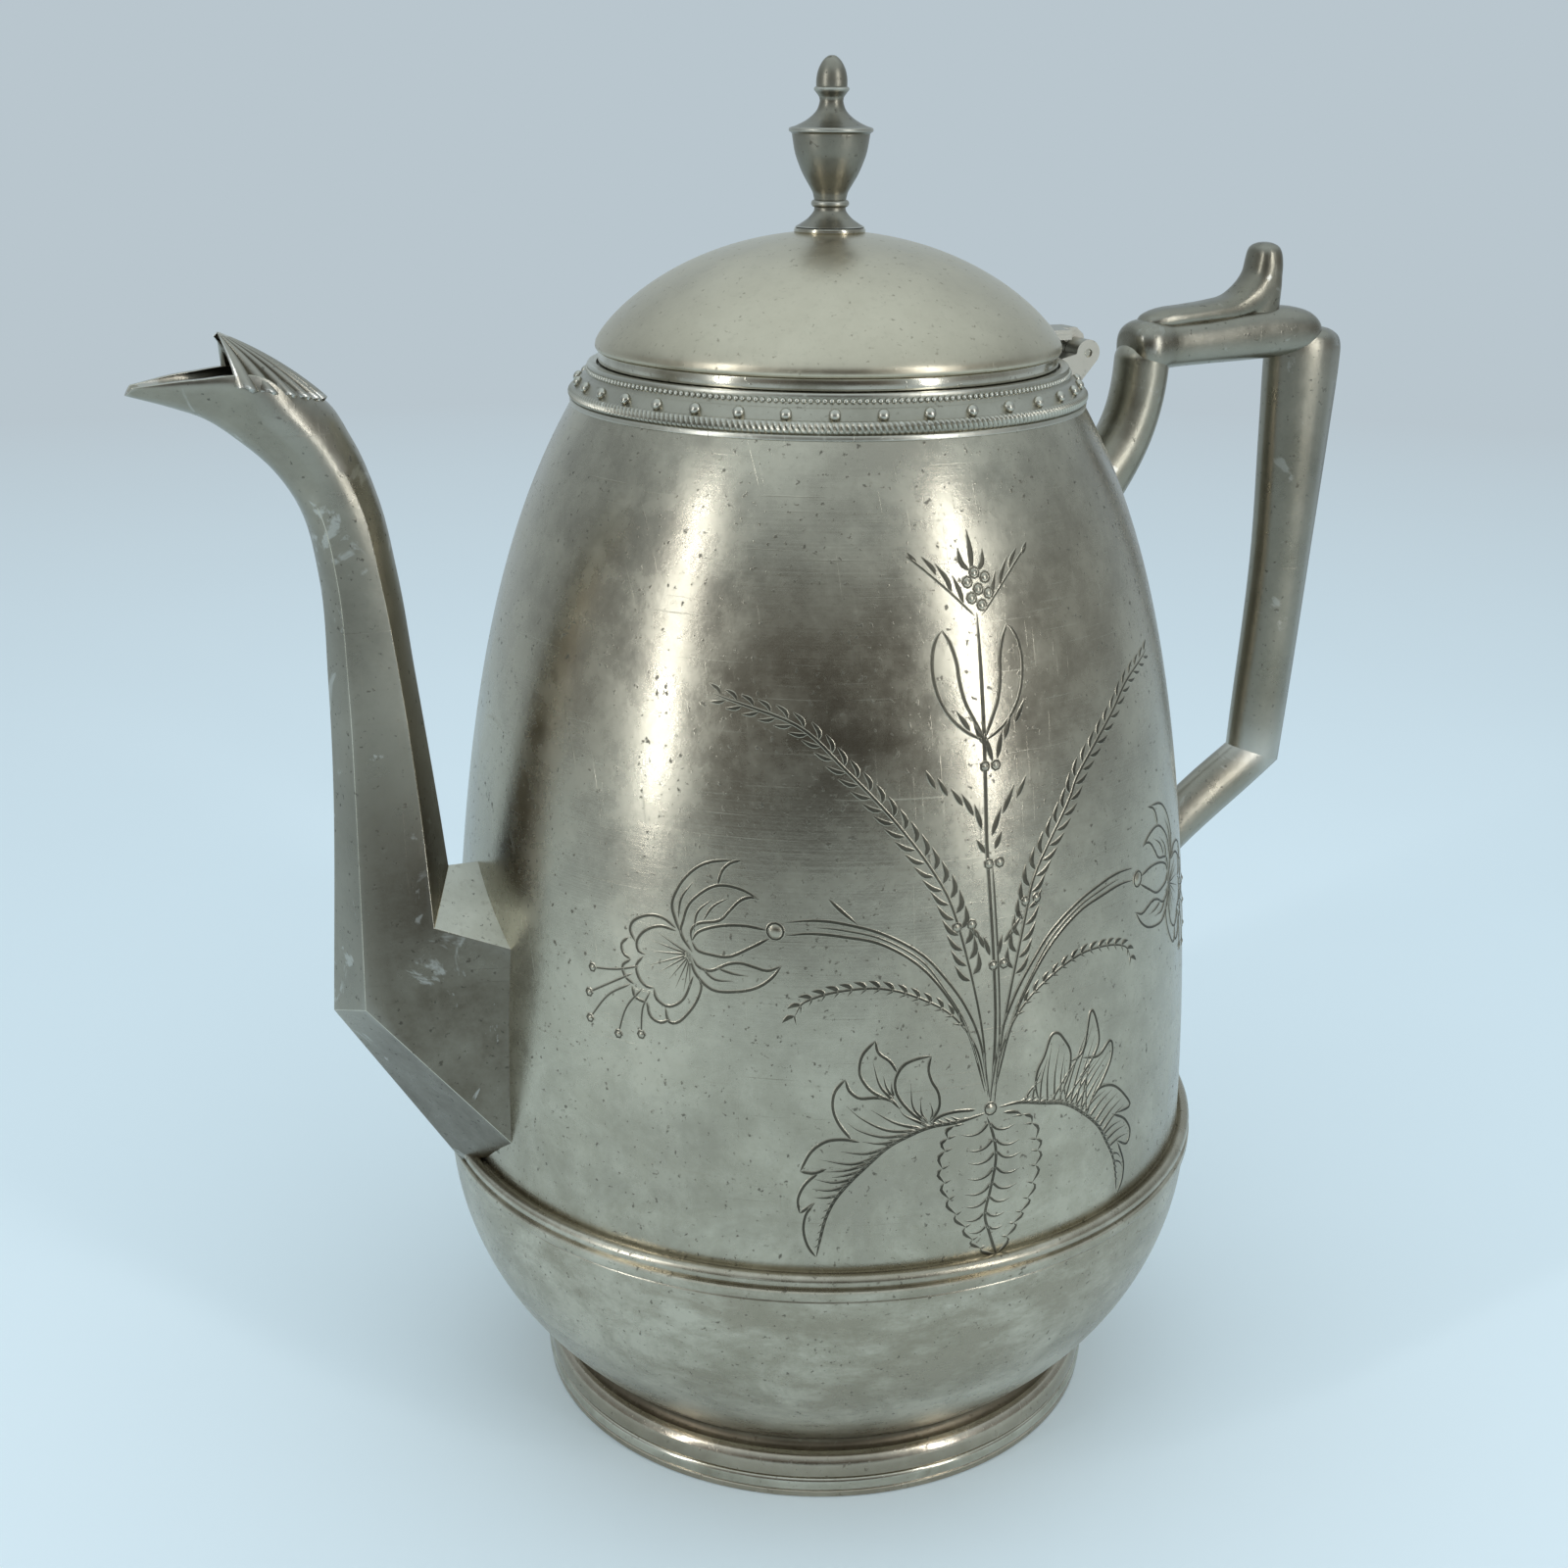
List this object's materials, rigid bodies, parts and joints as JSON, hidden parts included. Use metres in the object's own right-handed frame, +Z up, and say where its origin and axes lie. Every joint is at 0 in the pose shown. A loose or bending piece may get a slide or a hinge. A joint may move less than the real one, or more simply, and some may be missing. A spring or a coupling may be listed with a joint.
{
  "type": "pewter coffee pot",
  "caption": "Tall pewter coffee pot with a hinged domed lid, urn finial, faceted swan-neck spout and angular handle.",
  "frame": {"origin": "centre of the foot ring, on the surface that the pot stands on", "axes": "+Z up along the pot's turning axis, +X towards the handle and the lid's hinge, -X towards the spout"},
  "size_m": [0.2578, 0.164, 0.28],
  "materials": {
    "aged_pewter": "dull, mottled with tarnish",
    "polished_pewter": "worn bright"
  },
  "bodies": {
    "pot": {"body_shell": "aged_pewter", "lower_bowl": "aged_pewter", "bowl_rim": "aged_pewter", "foot_ring": "aged_pewter", "collar_band": "aged_pewter", "lid_seat_ring": "aged_pewter", "hinge_body_bracket": "polished_pewter", "hinge_pin": "polished_pewter", "handle_shank": "aged_pewter", "handle_top_bar": "aged_pewter", "handle_thumb_rest": "aged_pewter", "handle_post": "aged_pewter", "handle_lower_strut": "aged_pewter", "spout_half_right": "aged_pewter", "spout_half_left": "aged_pewter", "spout_crest": "aged_pewter"},
    "lid": {"lid_dome": "aged_pewter", "lid_bezel": "polished_pewter", "finial_plate": "aged_pewter", "finial": "aged_pewter", "finial_nut": "polished_pewter", "hinge_lid_leaf": "polished_pewter"}
  },
  "joints": [
    {"name": "lid_hinge", "type": "hinge", "parent": "pot", "child": "lid", "pos_m": [0.0553, 0, 0.2231], "axis": [0, 1, 0], "range_deg": [0, 125]}
  ]
}
